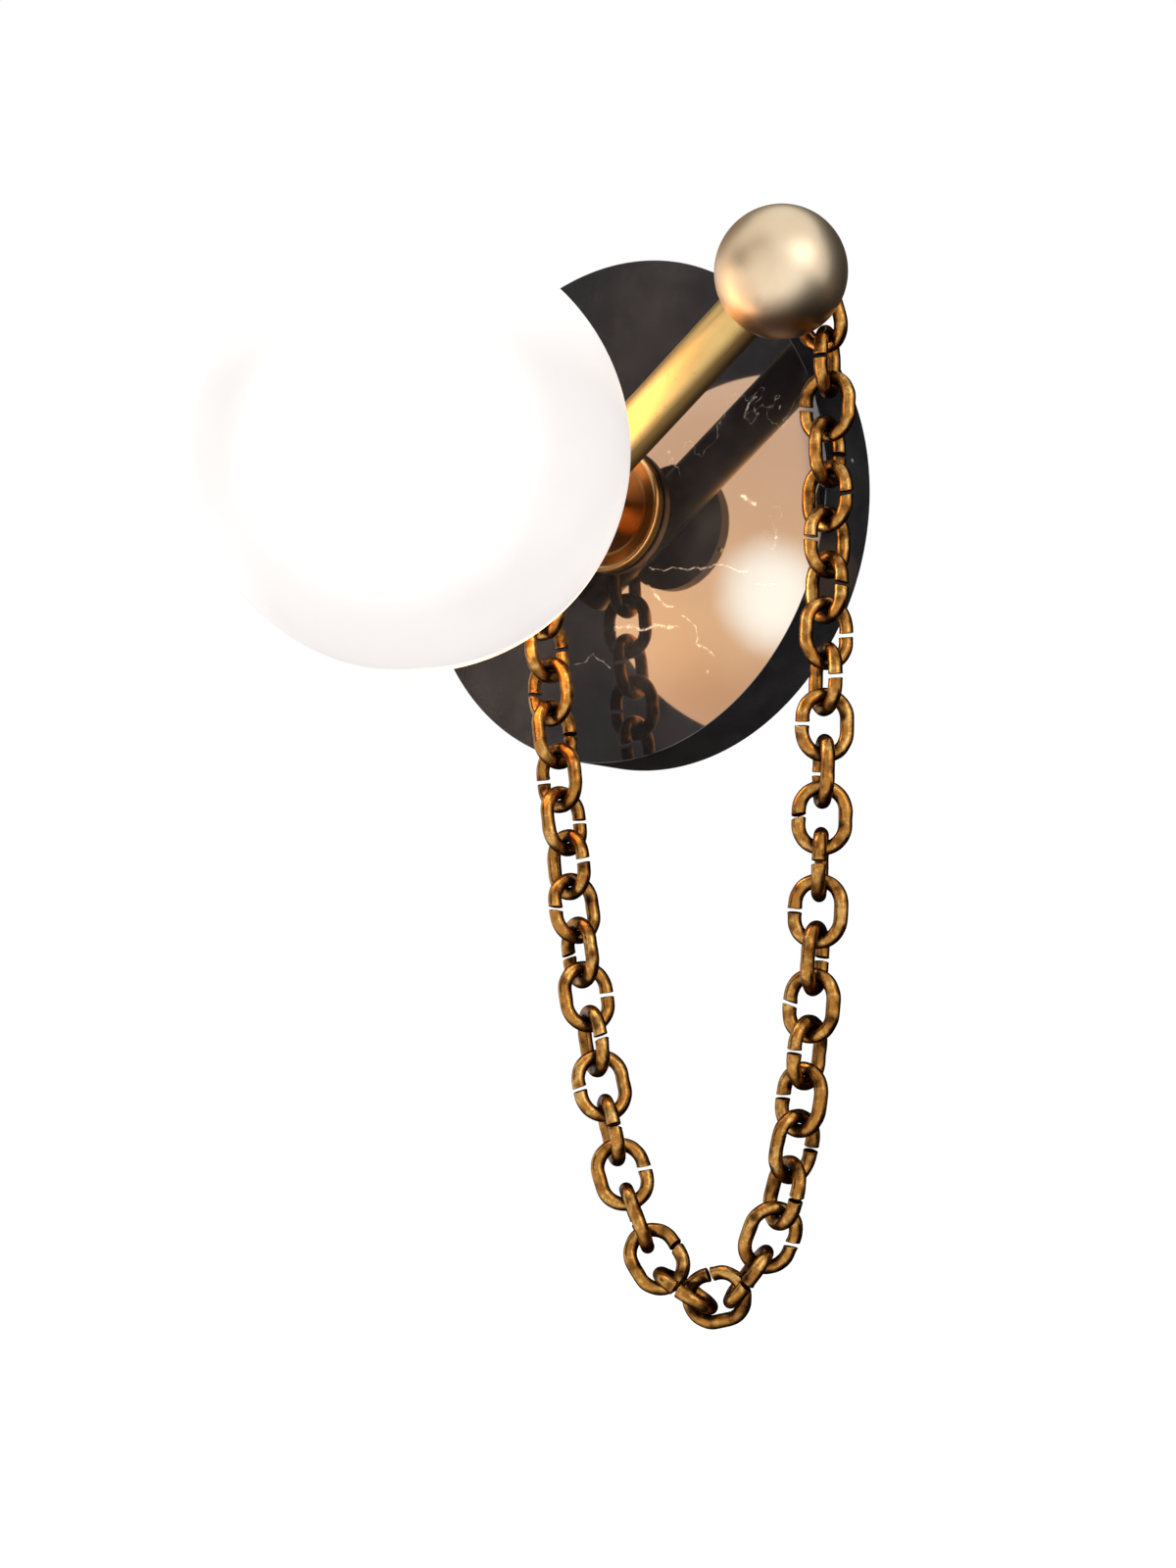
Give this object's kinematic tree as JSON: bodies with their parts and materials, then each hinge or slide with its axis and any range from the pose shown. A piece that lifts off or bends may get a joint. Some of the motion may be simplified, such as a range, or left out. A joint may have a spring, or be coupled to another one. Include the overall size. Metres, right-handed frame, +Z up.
{
  "type": "pendant wall sconce",
  "caption": "Wall light: a stone disc carries a slanted brass tube with an opal glass globe in front, a brass ball on the raised end and a long hanging loop of brass chain.",
  "frame": {"origin": "centre of the wall bracket's back face, on the wall and on the stone disc's axis", "axes": "+Z up, +Y into the wall, so the light faces -Y, and +X to the right as seen from the room"},
  "size_m": [0.2263, 0.2273, 0.4151],
  "materials": {
    "marble": "polished black stone with pale veins",
    "tube_brass": "satin yellow brass, lengthwise brushing",
    "ball_brass": "pale satin brass",
    "bronze": "bronze-brown brass with a bright edge",
    "chain_brass": "hammered antique brass, dark in the hollows",
    "opal_glass": "frosted white opal glass",
    "lamp_glass": "white-coated lamp glass",
    "nickel": "nickel-plated lamp cap and socket",
    "solder": "soldered lamp tip",
    "zinc": "zinc-plated steel",
    "hardware_brass": "raw machined brass",
    "holder_ceramic": "unglazed white porcelain",
    "terminal_plastic": "translucent white nylon",
    "soft_washer": "black soft washer",
    "lead_brown": "brown insulation",
    "lead_blue": "blue insulation"
  },
  "bodies": {
    "frame": {"wall_bracket": "zinc", "nipple_nuts": "hardware_brass", "threaded_nipple": "hardware_brass", "earth_screw": "hardware_brass", "earth_washer": "zinc", "terminal_block": "terminal_plastic", "terminal_inserts": "hardware_brass", "terminal_clamp_screws": "zinc", "terminal_fixing_screw": "zinc", "lead_live": "lead_brown", "lead_neutral": "lead_blue", "marble_disc": "marble", "rosette_washer": "soft_washer", "rosette": "bronze", "arm_hub": "bronze", "arm_tube": "tube_brass", "tube_end_cap": "tube_brass", "arm_saddle": "tube_brass", "ball": "ball_brass", "ball_staple": "chain_brass", "arm_staple": "chain_brass", "globe_cup": "tube_brass", "lampholder_cap": "holder_ceramic", "lampholder_body": "holder_ceramic", "lampholder_shell": "nickel", "lampholder_contact": "hardware_brass"},
    "globe": {"globe": "opal_glass"},
    "lamp": {"lamp_glass": "lamp_glass", "lamp_cap": "nickel", "lamp_tip": "solder"},
    "chain": {"chain_right_upper": "chain_brass", "chain_right_lower": "chain_brass", "chain_bow": "chain_brass", "chain_left_lower": "chain_brass", "chain_left_upper": "chain_brass"},
    "screw_top": {"globe_screw_1": "hardware_brass"},
    "screw_left": {"globe_screw_2": "hardware_brass"},
    "screw_right": {"globe_screw_3": "hardware_brass"}
  },
  "joints": [
    {"name": "chain_swing", "type": "hinge", "parent": "frame", "child": "chain", "pos_m": [-0.0163, -0.0568, -0.02893], "axis": [-0.8564, -0.1545, -0.4927], "range_deg": [-1.5, 10]},
    {"name": "globe_slide", "type": "slide", "parent": "frame", "child": "globe", "axis": [0, -1, 0], "range_m": [0, 0.12]},
    {"name": "lamp_slide", "type": "slide", "parent": "frame", "child": "lamp", "axis": [0, -1, 0], "range_m": [0, 0.022]},
    {"name": "screw_top_slide", "type": "slide", "parent": "frame", "child": "screw_top", "axis": [0, 0, 1], "range_m": [0, 0.003]},
    {"name": "screw_left_slide", "type": "slide", "parent": "frame", "child": "screw_left", "axis": [-0.866, 0, -0.5], "range_m": [0, 0.003]},
    {"name": "screw_right_slide", "type": "slide", "parent": "frame", "child": "screw_right", "axis": [0.866, 0, -0.5], "range_m": [0, 0.003]}
  ]
}
